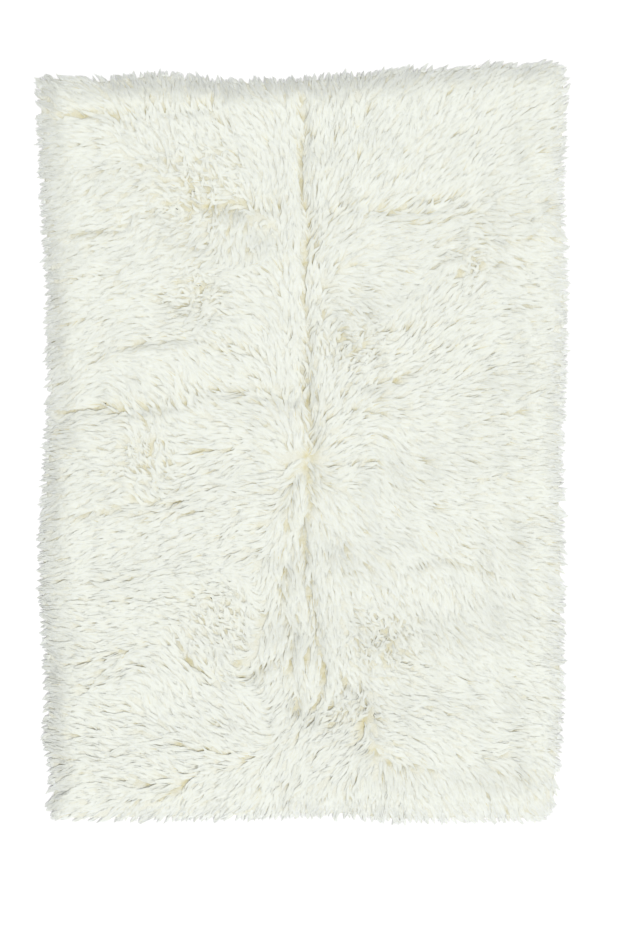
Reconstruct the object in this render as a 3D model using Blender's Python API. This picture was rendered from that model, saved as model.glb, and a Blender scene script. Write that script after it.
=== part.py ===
"""Flokati rug: a long-pile wool shag rug, lying flat.

The rug is one solid. Its underside is level with the surface that it lies on. Its top is the
lumpy surface of the combed pile, with the partings where the wool falls away to both sides,
and locks of wool stand out all round its rim.

Metres, +Z up, +Y along the rug's length. The origin is the middle of the rug, on its underside.
"""

import math

import bmesh
import bpy
import numpy as np
from mathutils import Matrix, Vector
from mathutils.geometry import delaunay_2d_cdt

MM = 0.001

# The pile's reach at the middle of each side, before the edges wander
HALF_WIDTH = 0.700
HALF_LENGTH = 1.000

# Round corners of the pile, by the signs of x and y
CORNER_RADIUS = {(-1, 1): 0.045, (1, 1): 0.045, (-1, -1): 0.060, (1, -1): 0.095}

# How far each edge stands out past its straight line, in mm: (place along the edge, out)
LEFT_WANDER = [(-870, -16), (-790, 2), (-690, -6), (-365, 12), (-260, 12), (60, -9), (375, -9),
               (590, 4), (905, 18)]
RIGHT_WANDER = [(-900, -14), (-690, 1), (-260, 1), (-50, -4), (375, 11), (690, 1), (905, 11)]
TOP_WANDER = [(-700, -24), (-620, -13), (-540, -24), (-380, -5), (-220, -27), (-60, -27),
              (100, -13), (260, 0), (415, 8), (495, 20), (575, 13), (655, 26)]
BOTTOM_WANDER = [(-620, 22), (-380, 19), (-140, 14), (20, 9), (100, 9), (255, 25), (415, 22),
                 (575, 22)]

# The pile's height, and how far in from the tips it reaches that height
PILE_HEIGHT = 0.044
SHOULDER = 0.100

# Humps of the pile: (wavelength, height) in mm, each turned and shifted from the one before
HUMPS = [(610, 3.2), (370, 2.8), (215, 2.6), (134, 2.2), (92, 1.5)]
GOLDEN_ANGLE = math.pi * (3.0 - math.sqrt(5.0))
HUMP_SHIFT = 1.7

# Partings of the pile, in mm: how deep and how wide each one is, and the places it passes
PARTINGS = [
    # depth, width, route
    (17, 17, [(-2, 905), (4, 800), (-6, 690), (16, 560), (0, 470), (10, 330), (4, 120), (22, 40),
              (10, -60)]),
    (15, 15, [(10, -60), (18, -150), (-8, -250), (16, -400), (38, -500), (52, -620), (20, -740)]),
    (15, 15, [(10, -60), (-36, -120), (-40, -190), (-30, -280), (-52, -360), (-60, -440),
              (-24, -500), (-36, -600), (-12, -720)]),
    (14, 14, [(-640, 858), (-540, 870), (-452, 853), (-405, 876), (-340, 870), (-282, 882),
              (-240, 890)]),
    (12, 14, [(-650, 555), (-480, 560), (-430, 610), (-330, 610), (-270, 625), (-60, 620)]),
    (10, 13, [(-520, 440), (-420, 405), (-370, 385), (-320, 352), (-275, 378), (-245, 425)]),
    (10, 13, [(-560, 232), (-400, 262), (-300, 275), (-230, 238), (-110, 232)]),
    (14, 15, [(-640, 70), (-550, 88), (-460, 76), (-380, 96), (-315, 92), (-300, 125), (-170, 130),
              (-20, 110)]),
    (10, 13, [(-620, -190), (-500, -178), (-420, -168), (-315, -162)]),
    (13, 14, [(-325, -530), (-300, -590), (-245, -632), (-155, -628), (-105, -590), (-50, -565)]),
    (9, 12, [(-560, -590), (-500, -620), (-430, -580)]),
    (10, 13, [(-480, -890), (-400, -905), (-340, -925), (-290, -895)]),
    (13, 15, [(70, 605), (200, 610), (330, 605), (400, 640), (440, 600), (480, 545), (520, 530)]),
    (10, 13, [(340, 460), (390, 505), (450, 500), (500, 460)]),
    (12, 14, [(80, 240), (130, 222), (130, 165), (160, 140), (240, 160), (310, 205)]),
    (10, 13, [(295, -325), (345, -308), (455, -320), (490, -350)]),
    (13, 14, [(110, -630), (148, -655), (165, -720), (150, -800), (190, -830), (240, -850),
              (310, -855), (335, -870)]),
]

# The rim: how far in from the tips the locks have their roots, and the size of the locks
RIM_INSET = 0.030
RIM_PITCH = 0.0232
LOCK_REACH_SHORT = 0.023
LOCK_REACH_LONG = 0.033
LOCK_WAIST_PLACE = 0.52
LOCK_WAIST_WIDTH = 0.62

# How the rim's locks turn from straight out: two waves round the rug, (waves, share, start),
# the widest turn that they make, and how far a lock strays from its neighbours' way
SWEEP_WAVES = [(5, 0.62, 0.4), (13, 0.38, 2.0)]
LOCK_SWEEP = math.radians(16.0)
LOCK_STRAY = math.radians(5.0)
CORNER_LOCKS = 3

# Spacing of the points on the top surface and on the underside, and how uneven the top's is
TOP_SPACING = 0.034
TOP_JITTER = 0.0075
PARTING_SPACING = 0.024
CLEAR_OF_PARTING = 0.017
CLEAR_OF_RIM = 0.020
UNDER_SPACING = 0.170
UNDER_CLEAR_OF_RIM = 0.068

SEED = 27

# Undyed wool, as it looks in the mass
WOOL_COLOUR = (0.83, 0.82, 0.73, 1.0)
WOOL_ROUGHNESS = 0.95


def wander(rows, along):
    """How far an edge stands out at the places along it, between its table's rows."""
    places, outs = np.array(rows, float).T * MM
    return np.interp(along, places, outs)


def edge_wander(x, y, out_x, out_y):
    """Wander at points near the edge, mixed by the outward direction's squares."""
    side = np.where(x < 0.0, wander(LEFT_WANDER, y), wander(RIGHT_WANDER, y))
    end = np.where(y < 0.0, wander(BOTTOM_WANDER, x), wander(TOP_WANDER, x))
    return out_x ** 2 * side + out_y ** 2 * end


def corner_radius(x, y):
    """Radius of the corner in each point's quarter of the rug."""
    radius = np.zeros_like(x)
    for (sign_x, sign_y), value in CORNER_RADIUS.items():
        radius[(np.sign(x) * sign_x >= 0) & (np.sign(y) * sign_y >= 0)] = value
    return radius


def distance_inside(x, y):
    """Distance in from the tips' outline: a rounded rectangle's, plus the edge's wander."""
    radius = corner_radius(x, y)
    past_x = np.abs(x) - (HALF_WIDTH - radius)
    past_y = np.abs(y) - (HALF_LENGTH - radius)
    corner = np.hypot(np.maximum(past_x, 0.0), np.maximum(past_y, 0.0))
    straight = np.minimum(np.maximum(past_x, past_y), 0.0)
    around_corner = (past_x > 0.0) & (past_y > 0.0)
    safe = np.maximum(corner, 1e-9)
    out_x = np.where(around_corner, past_x / safe, (past_x >= past_y).astype(float))
    out_y = np.where(around_corner, past_y / safe, (past_x < past_y).astype(float))
    return radius - corner - straight + edge_wander(x, y, out_x, out_y)


def distance_to_route(x, y, route):
    """Distance from each point to the nearest place on a route of straight stretches."""
    nearest = np.full_like(x, np.inf)
    stops = np.array(route, float) * MM
    for start, stop in zip(stops[:-1], stops[1:]):
        run = stop - start
        share = ((x - start[0]) * run[0] + (y - start[1]) * run[1]) / run.dot(run)
        share = np.clip(share, 0.0, 1.0)
        gap = np.hypot(x - start[0] - share * run[0], y - start[1] - share * run[1])
        nearest = np.minimum(nearest, gap)
    return nearest


def humps(x, y):
    """Sum of sine waves, each a golden angle round from the one before."""
    total = np.zeros_like(x)
    for turn, (wavelength, height) in enumerate(HUMPS):
        angle = GOLDEN_ANGLE * turn
        across = x * math.cos(angle) + y * math.sin(angle)
        total += height * MM * np.sin(math.tau * across / (wavelength * MM) + HUMP_SHIFT * turn)
    return total


def pile_height(x, y):
    """Height of the pile: a rounded shoulder at the rim, with humps, cut by the partings."""
    share = np.clip(distance_inside(x, y) / SHOULDER, 0.0, 1.0)
    shoulder = 1.0 - (1.0 - share) ** 2
    valley = np.zeros_like(x)
    for depth, width, route in PARTINGS:
        gap = distance_to_route(x, y, route)
        valley = np.maximum(valley, depth * MM * np.exp(-(gap / (width * MM)) ** 2))
    return shoulder * (PILE_HEIGHT + humps(x, y)) - valley * share


def rim_ring():
    """Points round the rug at the roots of the rim's locks.

    A rounded rectangle is walked anticlockwise at an even pitch, and each point is moved out by
    the edge's wander and in by the rim's inset.
    """
    corners = [(1, 1), (-1, 1), (-1, -1), (1, -1)]
    points = []
    for turn, (sign_x, sign_y) in enumerate(corners):
        radius = CORNER_RADIUS[(sign_x, sign_y)]
        middle = (sign_x * (HALF_WIDTH - radius), sign_y * (HALF_LENGTH - radius))
        steps = max(CORNER_LOCKS, round(radius * math.pi / 2 / RIM_PITCH))
        for step in range(steps):
            angle = math.pi / 2 * (turn + (step + 0.5) / steps)
            points.append((middle[0] + radius * math.cos(angle),
                           middle[1] + radius * math.sin(angle), math.cos(angle), math.sin(angle)))
        after_x, after_y = corners[(turn + 1) % 4]
        after_radius = CORNER_RADIUS[(after_x, after_y)]
        angle = math.pi / 2 * (turn + 1)
        start = np.array(middle) + radius * np.array((math.cos(angle), math.sin(angle)))
        stop = np.array((after_x * (HALF_WIDTH - after_radius),
                         after_y * (HALF_LENGTH - after_radius)))
        stop = stop + after_radius * np.array((math.cos(angle), math.sin(angle)))
        steps = round(np.hypot(*(stop - start)) / RIM_PITCH)
        for step in range(steps):
            place = start + (stop - start) * (step + 0.5) / steps
            points.append((place[0], place[1], math.cos(angle), math.sin(angle)))
    x, y, out_x, out_y = np.array(points).T
    out = edge_wander(x, y, out_x, out_y) - RIM_INSET
    return np.stack((x + out * out_x, y + out * out_y), axis=1)


def parting_points():
    """Points at an even spacing along the floor of every parting."""
    points = []
    for _, _, route in PARTINGS:
        stops = np.array(route, float) * MM
        lengths = np.hypot(*np.diff(stops, axis=0).T)
        along = np.concatenate(([0.0], np.cumsum(lengths)))
        places = np.arange(0.0, along[-1], PARTING_SPACING)
        points.append(np.stack([np.interp(places, along, stops[:, k]) for k in (0, 1)], axis=1))
    return thinned(np.concatenate(points), CLEAR_OF_PARTING)


def thinned(points, clear):
    """The points, in their order, without any that lies within the clear distance of another."""
    kept = np.empty((0, 2))
    for point in points:
        if len(kept) == 0 or np.hypot(*(kept - point).T).min() > clear:
            kept = np.vstack((kept, point))
    return kept


def within(points, clear):
    """The points that lie inside the locks' roots by the clear distance."""
    return points[distance_inside(*points.T) > RIM_INSET + clear]


def staggered_points(spacing, jitter, chance):
    """Rows of points over the rug, every other row shifted by half a step, a little uneven."""
    rise = spacing * math.sqrt(0.75)
    points = []
    for row, y in enumerate(np.arange(-HALF_LENGTH, HALF_LENGTH + spacing, rise)):
        x = np.arange(-HALF_WIDTH, HALF_WIDTH, spacing) + spacing / 2 * (row % 2)
        points.append(np.stack((x, np.full_like(x, y)), axis=1))
    points = np.concatenate(points)
    return points + chance.uniform(-jitter, jitter, points.shape)


def triangulated(ring, inner):
    """Delaunay triangles over the inside of the ring, from its points and the inner points.

    Returns all the points, the triangles, and where the ring's own points are among the points.
    """
    coords = [Vector(point) for point in np.concatenate((ring, inner))]
    outline = [list(range(len(ring)))]
    verts, _, faces, sources, _, _ = delaunay_2d_cdt(coords, [], outline, 1, 1e-6)
    place_of = {source: place for place, group in enumerate(sources) for source in group}
    rim = [place_of[source] for source in range(len(ring))]
    return np.array([(vert.x, vert.y) for vert in verts]), faces, rim


def pull_out_locks(bm, walls, chance):
    """Draw each face of the rim out into a four-sided lock that tapers to a point on the floor.

    The face is extruded to the lock's waist, and the waist is poked to make the tip. Locks sweep
    to one side or the other in waves round the rim, each a little off its neighbours' way.
    """
    for waist in bmesh.ops.extrude_discrete_faces(bm, faces=walls)["faces"]:
        waist.normal_update()
        root = waist.calc_center_median()
        around = math.atan2(root.y, root.x)
        sweep = sum(share * math.sin(waves * around + start) for waves, share, start in SWEEP_WAVES)
        sweep = sweep * LOCK_SWEEP + chance.uniform(-LOCK_STRAY, LOCK_STRAY)
        reach = chance.uniform(LOCK_REACH_SHORT, LOCK_REACH_LONG)
        aim = Matrix.Rotation(sweep, 3, "Z") @ waist.normal * reach
        for vert in waist.verts:
            beside = vert.co - root
            vert.co.x = root.x + aim.x * LOCK_WAIST_PLACE + beside.x * LOCK_WAIST_WIDTH
            vert.co.y = root.y + aim.y * LOCK_WAIST_PLACE + beside.y * LOCK_WAIST_WIDTH
            vert.co.z = vert.co.z * LOCK_WAIST_WIDTH
        tip = bmesh.ops.poke(bm, faces=[waist])["verts"][0]
        tip.co = Vector((root.x + aim.x, root.y + aim.y, 0.0))


def slab(bm, ring, chance):
    """The lumpy top, the level underside, and the rim's faces between them, which it returns."""
    partings = within(parting_points(), CLEAR_OF_RIM)
    loose = within(staggered_points(TOP_SPACING, TOP_JITTER, chance), CLEAR_OF_RIM)
    clear = [np.hypot(*(partings - point).T).min() > CLEAR_OF_PARTING for point in loose]
    top, top_faces, top_rim = triangulated(ring, np.concatenate((partings, loose[clear])))
    under = within(staggered_points(UNDER_SPACING, 0.0, chance), UNDER_CLEAR_OF_RIM)
    base, base_faces, base_rim = triangulated(ring, under)

    top_verts = [bm.verts.new((x, y, z)) for (x, y), z in zip(top, pile_height(*top.T))]
    base_verts = [bm.verts.new((x, y, 0.0)) for x, y in base]
    for face in top_faces:
        bm.faces.new([top_verts[k] for k in face])
    for face in base_faces:
        bm.faces.new([base_verts[k] for k in reversed(face)])
    walls = []
    for here in range(len(ring)):
        there = (here + 1) % len(ring)
        walls.append(bm.faces.new((base_verts[base_rim[here]], base_verts[base_rim[there]],
                                   top_verts[top_rim[there]], top_verts[top_rim[here]])))
    return walls


def wool():
    """Undyed wool: off-white, quite matt."""
    material = bpy.data.materials.new("undyed wool")
    material.use_nodes = True
    surface = material.node_tree.nodes["Principled BSDF"]
    surface.inputs["Base Color"].default_value = WOOL_COLOUR
    surface.inputs["Roughness"].default_value = WOOL_ROUGHNESS
    surface.inputs["Metallic"].default_value = 0.0
    return material


def main():
    for old in list(bpy.data.objects):
        bpy.data.objects.remove(old, do_unlink=True)
    chance = np.random.default_rng(SEED)
    bm = bmesh.new()
    walls = slab(bm, rim_ring(), chance)
    pull_out_locks(bm, walls, chance)
    bmesh.ops.recalc_face_normals(bm, faces=bm.faces)
    low, high = (np.array([pick(axis) for axis in zip(*(vert.co for vert in bm.verts))])
                 for pick in (min, max))
    centre = (low + high) / 2
    bmesh.ops.translate(bm, verts=bm.verts, vec=(-centre[0], -centre[1], -low[2]))
    mesh = bpy.data.meshes.new("flokati_rug")
    bm.to_mesh(mesh)
    bm.free()
    mesh.materials.append(wool())
    mesh.shade_smooth()
    rug = bpy.data.objects.new("flokati_rug", mesh)
    collection = bpy.data.collections.new("flokati rug")
    bpy.context.scene.collection.children.link(collection)
    collection.objects.link(rug)


main()
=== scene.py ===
"""The looks of a flokati rug: woven ground cloth, dense lower wool and combed locks of wool.

Metres, +Z up, +Y along the rug. The tables of places were read off the photo: most are in
mm from the rug's middle, and the creases and ridges are in the photo's own pixels.
"""

import math

import bpy
import numpy as np
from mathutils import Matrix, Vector


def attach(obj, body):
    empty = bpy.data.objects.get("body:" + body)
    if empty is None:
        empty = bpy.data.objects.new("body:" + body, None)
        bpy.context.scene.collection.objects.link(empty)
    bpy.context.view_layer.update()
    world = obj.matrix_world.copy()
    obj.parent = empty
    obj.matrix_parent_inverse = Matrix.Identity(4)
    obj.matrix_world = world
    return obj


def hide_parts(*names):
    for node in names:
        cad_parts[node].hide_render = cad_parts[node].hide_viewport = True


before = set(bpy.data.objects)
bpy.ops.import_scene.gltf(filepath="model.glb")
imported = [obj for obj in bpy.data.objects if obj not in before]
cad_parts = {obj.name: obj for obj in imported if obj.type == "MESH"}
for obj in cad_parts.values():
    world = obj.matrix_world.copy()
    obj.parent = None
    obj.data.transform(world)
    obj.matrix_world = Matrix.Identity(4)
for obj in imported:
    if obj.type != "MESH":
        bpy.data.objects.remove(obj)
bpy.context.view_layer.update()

MM = 0.001
GOLDEN_ANGLE = math.pi * (3.0 - math.sqrt(5.0))

# The pile's reach at the middle of each side, before the edges wander
HALF_WIDTH = 0.700
HALF_LENGTH = 1.000

# Round corners of the pile, by the signs of x and y
CORNER_RADIUS = {(-1, 1): 0.045, (1, 1): 0.045, (-1, -1): 0.060, (1, -1): 0.095}

# How far each edge stands out past its straight line, in mm: (place along the edge, out)
LEFT_WANDER = [(-870, -16), (-790, 2), (-690, -6), (-365, 12), (-260, 12), (60, -9), (375, -9),
               (590, 4), (905, 18)]
RIGHT_WANDER = [(-900, -14), (-690, 1), (-260, 1), (-50, -4), (375, 11), (690, 1), (905, 11)]
TOP_WANDER = [(-700, -24), (-620, -13), (-540, -24), (-380, -5), (-220, -27), (-60, -27),
              (100, -13), (260, 0), (415, 8), (495, 20), (575, 13), (655, 26)]
BOTTOM_WANDER = [(-620, 22), (-380, 19), (-140, 14), (20, 9), (100, 9), (255, 25), (415, 22),
                 (575, 22)]

# The pile's height, and how far in from the tips it reaches that height
PILE_HEIGHT = 0.044
SHOULDER = 0.100

# Humps of the pile: (wavelength, height) in mm, each turned and shifted from the one before
HUMPS = [(610, 3.2), (370, 2.8), (215, 2.6), (134, 2.2), (92, 1.5)]
HUMP_SHIFT = 1.7

# Partings of the pile, in mm: how deep and how wide each one is, and the places it passes
PARTINGS = [
    # depth, width, route
    (17, 17, [(-2, 905), (4, 800), (-6, 690), (16, 560), (0, 470), (10, 330), (4, 120), (22, 40),
              (10, -60)]),
    (15, 15, [(10, -60), (18, -150), (-8, -250), (16, -400), (38, -500), (52, -620), (20, -740)]),
    (15, 15, [(10, -60), (-36, -120), (-40, -190), (-30, -280), (-52, -360), (-60, -440),
              (-24, -500), (-36, -600), (-12, -720)]),
    (14, 14, [(-640, 858), (-540, 870), (-452, 853), (-405, 876), (-340, 870), (-282, 882),
              (-240, 890)]),
    (12, 14, [(-650, 555), (-480, 560), (-430, 610), (-330, 610), (-270, 625), (-60, 620)]),
    (10, 13, [(-520, 440), (-420, 405), (-370, 385), (-320, 352), (-275, 378), (-245, 425)]),
    (10, 13, [(-560, 232), (-400, 262), (-300, 275), (-230, 238), (-110, 232)]),
    (14, 15, [(-640, 70), (-550, 88), (-460, 76), (-380, 96), (-315, 92), (-300, 125), (-170, 130),
              (-20, 110)]),
    (10, 13, [(-620, -190), (-500, -178), (-420, -168), (-315, -162)]),
    (13, 14, [(-325, -530), (-300, -590), (-245, -632), (-155, -628), (-105, -590), (-50, -565)]),
    (9, 12, [(-560, -590), (-500, -620), (-430, -580)]),
    (10, 13, [(-480, -890), (-400, -905), (-340, -925), (-290, -895)]),
    (13, 15, [(70, 605), (200, 610), (330, 605), (400, 640), (440, 600), (480, 545), (520, 530)]),
    (10, 13, [(340, 460), (390, 505), (450, 500), (500, 460)]),
    (12, 14, [(80, 240), (130, 222), (130, 165), (160, 140), (240, 160), (310, 205)]),
    (10, 13, [(295, -325), (345, -308), (455, -320), (490, -350)]),
    (13, 14, [(110, -630), (148, -655), (165, -720), (150, -800), (190, -830), (240, -850),
              (310, -855), (335, -870)]),
]

# How the pile is combed: (x in mm, y in mm, way that the tips point in degrees from +X)
COMBED = [
    (-605, 915, 150), (-605, 850, 175), (-620, 770, -170), (-590, 685, -153), (-540, 620, -157),
    (-590, 520, -162), (-605, 375, -170), (-435, 915, 113), (-350, 930, 95), (-255, 925, 104),
    (-145, 870, 130), (-70, 810, 122), (-50, 715, 106), (-110, 640, 100), (-180, 770, 140),
    (-355, 770, 120), (-405, 665, -160), (-260, 690, 150), (-140, 545, -88), (-215, 570, -98),
    (-310, 535, -155), (-420, 520, -148), (-500, 440, -170), (-275, 415, -165), (-110, 385, 150),
    (-565, 280, -155), (-615, 185, -148), (-565, 115, -162), (-405, 175, -165), (-435, 130, 108),
    (-325, 135, 98), (-195, 185, 148), (-90, 235, 128), (-170, 75, 162), (-90, 0, 150),
    (-275, 25, 170), (-540, 10, 173), (-645, -10, 176), (-400, -65, 105), (-520, -75, -172),
    (-590, -110, -160), (-210, -55, -150), (-325, -100, -160), (-95, -110, 165),
    (-180, -170, -178), (-590, -225, -160), (-540, -295, -165), (-355, -285, -165),
    (-195, -250, -160), (-645, -420, 178), (-505, -420, 180), (-275, -395, 170),
    (-590, -525, 165), (-445, -525, 178), (-515, -600, -155), (-365, -660, 120),
    (-275, -740, 140), (-190, -805, 150), (-300, -850, 166), (-555, -690, 165),
    (-565, -795, 165), (-590, -875, -177), (-605, -945, -163), (-615, -990, -145),
    (-435, -885, 163), (-420, -985, -135), (-325, -1000, -123), (-250, -940, -132),
    (-155, -925, -134), (-110, -985, -110), (-200, -470, 120), (-280, -555, 125),
    (-155, -720, 135), (-35, -675, -117), (-10, -850, -124), (-35, -950, -96), (-10, -525, -92),
    (35, -555, -88), (-85, -875, -134), (65, 890, 98), (110, 840, 76), (255, 880, 62),
    (390, 825, 54), (520, 905, 45), (640, 915, 35), (255, 745, 60), (390, 730, 46),
    (520, 765, 40), (640, 770, 20), (625, 660, 15), (95, 725, 80), (110, 645, 55), (335, 650, 48),
    (95, 525, 40), (255, 545, 8), (350, 535, 14), (390, 510, 22), (475, 505, -18),
    (535, 460, -34), (625, 555, -8), (640, 475, 0), (215, 440, -10), (110, 370, -28),
    (420, 430, 62), (315, 315, 56), (475, 320, 14), (640, 370, 3), (390, 235, 44), (255, 190, 25),
    (475, 190, 22), (640, 185, 8), (110, 120, 52), (240, 120, 20), (360, 105, 11), (535, 105, 4),
    (130, 5, 22), (235, 5, -45), (350, 0, -14), (535, 5, -5), (655, -55, 0), (100, -80, 42),
    (75, -180, -48), (205, -135, -55), (255, -170, -26), (395, -160, -8), (535, -190, -8),
    (655, -215, -8), (260, -265, -32), (360, -280, -40), (475, -280, -40), (640, -320, -12),
    (360, -395, -78), (260, -400, -66), (475, -400, -58), (580, -425, -38), (655, -480, -14),
    (335, -505, -50), (475, -530, -38), (605, -585, -20), (130, -375, -60), (235, -530, -50),
    (260, -660, -20), (360, -685, -5), (475, -665, -25), (615, -690, -20), (260, -755, -8),
    (395, -810, -35), (525, -805, 2), (650, -805, -15), (100, -740, -145), (75, -805, -164),
    (100, -875, -134), (70, -955, -108), (155, -955, -92), (260, -945, -85), (360, -925, -62),
    (445, -950, -56), (525, -955, -74), (605, -925, -50), (655, -985, -52),
    (0, 880, 92), (0, 800, 90), (0, 720, 92), (0, 640, 90), (10, 560, 88), (0, 470, 95),
    (0, 400, 92), (10, 320, 88), (5, 240, 90), (5, 160, 94), (15, 80, 90), (10, 10, 88),
    (10, -90, -90), (5, -170, -92), (0, -260, -96), (0, -350, -92), (5, -430, -90),
    (20, -620, -86), (-45, -590, -98), (60, -660, -84),
]
COMB_REACH = 0.062
PARTING_TURN = 34.0
PARTING_SHARE = 0.45

# Places where the wool curls every way instead: (x in mm, y in mm, reach in mm)
CURLY = [(-280, 660, 130), (-260, 400, 90), (-220, -480, 100), (120, 260, 90), (200, -520, 110),
         (130, -700, 80), (-400, -50, 80), (430, 470, 60)]

# Small creases where tufts of wool part, read from the photo in its own pixels
PHOTO_MIDDLE = (303.5, 441.2)
PIXEL = 0.00265
CREASES = [
    [(60, 118), (100, 113), (133, 119), (150, 110), (175, 113), (197, 108), (213, 107)],
    [(200, 118), (228, 124), (235, 138)], [(125, 107), (140, 110)],
    [(145, 85), (153, 108), (147, 116)], [(303, 180), (302, 200)], [(303, 260), (304, 282)],
    [(306, 300), (305, 318)], [(313, 90), (314, 110)], [(317, 178), (316, 205), (318, 222)],
    [(320, 240), (313, 250), (311, 300)], [(305, 390), (306, 415)], [(311, 420), (312, 440)],
    [(320, 430), (315, 452)], [(306, 455), (305, 468)], [(310, 470), (311, 505)],
    [(318, 518), (325, 530)], [(303, 500), (302, 545)], [(288, 490), (289, 512)],
    [(296, 518), (292, 530)], [(280, 595), (276, 617)], [(290, 598), (298, 620)],
    [(266, 610), (267, 630)], [(285, 632), (290, 668)], [(308, 590), (309, 615)],
    [(318, 620), (319, 655)], [(323, 662), (324, 680)], [(318, 690), (317, 702)],
    [(306, 650), (305, 670)], [(312, 705), (300, 735)], [(330, 700), (327, 715)],
    [(185, 213), (200, 203), (222, 210), (280, 207), (295, 195)], [(195, 247), (213, 240)],
    [(95, 275), (115, 287)], [(130, 282), (140, 290)],
    [(160, 290), (175, 306), (182, 308), (197, 300), (210, 280)],
    [(187, 343), (215, 352), (240, 347), (262, 355)],
    [(60, 415), (85, 408), (130, 412), (160, 405), (185, 405), (190, 392), (240, 390)],
    [(240, 390), (270, 395), (300, 400)], [(250, 435), (232, 450), (190, 452)],
    [(130, 505), (185, 502)], [(150, 518), (200, 510)],
    [(180, 640), (190, 665), (210, 680), (245, 678), (265, 662), (285, 655)],
    [(245, 683), (270, 672)], [(210, 720), (242, 735)], [(175, 745), (225, 755), (265, 757)],
    [(120, 780), (175, 790), (190, 780)], [(130, 800), (190, 795)], [(85, 690), (150, 665)],
    [(80, 665), (150, 645)], [(290, 780), (291, 810)], [(258, 795), (265, 770)],
    [(330, 208), (380, 215), (430, 204), (455, 198)], [(455, 198), (485, 220), (486, 240)],
    [(340, 350), (355, 360)], [(350, 380), (362, 388), (395, 380)], [(412, 338), (440, 345)],
    [(325, 415), (326, 430)], [(345, 412), (398, 410)], [(320, 475), (330, 485)],
    [(335, 470), (375, 463)], [(415, 565), (435, 557), (475, 562)], [(480, 545), (490, 575)],
    [(353, 600), (354, 612)], [(343, 682), (354, 672)],
    [(345, 690), (366, 705), (366, 720), (357, 745), (375, 755), (390, 763), (418, 765)],
    [(355, 775), (356, 790)], [(410, 775), (411, 785)], [(420, 785), (428, 800)],
    [(470, 770), (478, 785)], [(493, 785), (494, 795)],
]
CREASE_REACH = 0.007
CREASE_DEPTH = 0.006
CREASE_WANDER = 0.005
CREASE_WAVELENGTH = 0.038

# Low ridges of the pile across the rug, read in the same way
RIDGES = [
    [(45, 151), (85, 150), (130, 147)], [(45, 237), (90, 236), (130, 231)],
    [(110, 354), (150, 353), (190, 350)], [(215, 226), (270, 220)], [(425, 263), (455, 262)],
]
RIDGE_HEIGHT = 0.005
RIDGE_REACH = 0.022

# Locks of wool: spacing of their roots, how far inside the tips' outline the outermost root
# is, length and width. Each has a few fine strands on it.
LOCK_SPACING = 0.0150
LOCK_INSET = 0.024
LOCK_LENGTH = 0.066
LOCK_WIDTH = 0.0140
LOCK_FLATNESS = 0.16
LOCK_STATIONS = 4
STRANDS_ON_LOCK = 3
STRAND_WIDTH = 0.0038
STRAND_FLATNESS = 0.35
STRAND_STATIONS = 4
ROOT_SINK = 0.005
SHORTEST_LOCK = 0.25

# Nearer the rim than this, a lock's root comes up from the ground cloth itself, by stages
GROUND_ROOTS_FROM = 0.050
GROUND_ROOTS_FULL = 0.030

# Shading of a strand: how round it looks, and how far it follows the slope of the pile
ROUNDING = 0.20
SLOPE_SHADING = 0.7

# Beside a parting the locks' roots are drawn together into tufts, this far apart, and up to
# this share of the strands is cream, painted shade of the gaps between the tufts
TUFT_SPACING = 0.034
TUFT_PULL = 0.5
SHADE_STRAND_SHARE = 0.3

# Loose wisps that stray out of the locks
WISP_COUNT = 1000
WISP_WIDTH = 0.0024
WISP_INSET = 0.022
WISP_LENGTHS = (0.030, 0.052)
WISP_CLEAR = 0.0012

# Colours of the wool, as sRGB hex: at the tips, in its streaks, whiter at the rim as painted light,
# where it grows as painted shade of the crevices, in the dense lower wool, and deep in a parting as
# painted shade
TIP_COLOUR = "f7fbf6"
STREAK_COLOUR = "f2f4e6"
RIM_LIGHT_COLOUR = "fbffff"
ROOT_SHADE_COLOUR = "e4d9a9"
LOWER_COLOUR = "f4f5e8"
PARTING_SHADE_COLOUR = "e1d8aa"

# Sizes of the patterns in the wool. A real fibre is 0.03 mm thick and would not show, so the
# streaks along the locks and strands are drawn as coarse as they need to be.
LOCK_STREAK = 3.7333 * MM
STRAND_STREAK = 1.9 * MM
CLUMP_SIZE = 7.14 * MM
YARN_SPACING = 4.0 * MM
FUZZ_SIZE = 1.43 * MM

# Length of one wave of the wave pattern at a scale of 1
WAVE_PERIOD = math.tau / 20

# Ground cloth and lower wool: how far they stop short of the tips' outline, the cloth's
# thickness and its clearance from the floor, and how far the lower wool stays below the locks
# and above the cloth
GROUND_INSET = 0.028
LOWER_WOOL_INSET = 0.018
GROUND_THICKNESS = 0.0025
GROUND_CLEAR = 0.0002
LOWER_WOOL_SINK = 0.0027
LAYER_GAP = 0.0004
LOWER_WOOL_LEAST = 0.003

# Sides of a strand, its clearance from the floor, and how far in the rim's painted light, whiter wool,
# reaches
SIDES = 3
FLOOR_CLEAR = 0.0003
RIM_LIGHT_REACH = 0.065

# Space left free round each strand's own cell of its sheet, as a share of the cell
CELL_EDGE_U = 0.08
CELL_EDGE_V = 0.07

SEED = 41

# Light: from all round, and from a wide source high on the lower right. The floor reaches this
# far each way, and glows a little so that it stays white.
ROUND_LIGHT = 0.38
WIDE_LIGHT = 2.02
WIDE_LIGHT_DEGREES = 30.0
WIDE_LIGHT_PLACE = (0.5, -0.7, 3.0)
LIGHT_BOUNCES = 12
FLOOR_REACH = 6.0
FLOOR_GLOW = 0.15

# Camera: straight down, placed so that the rug lies in the frame as photographed
FRAME_LONG_SIDE = 2.4645
LENS = 70.0
SENSOR = 36.0
AIM = (0.0172, -0.0631)


# Shape of the rug

def wander(rows, along):
    """How far an edge stands out at the places along it, between its table's rows."""
    places, outs = np.array(rows, float).T * MM
    return np.interp(along, places, outs)


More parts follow.
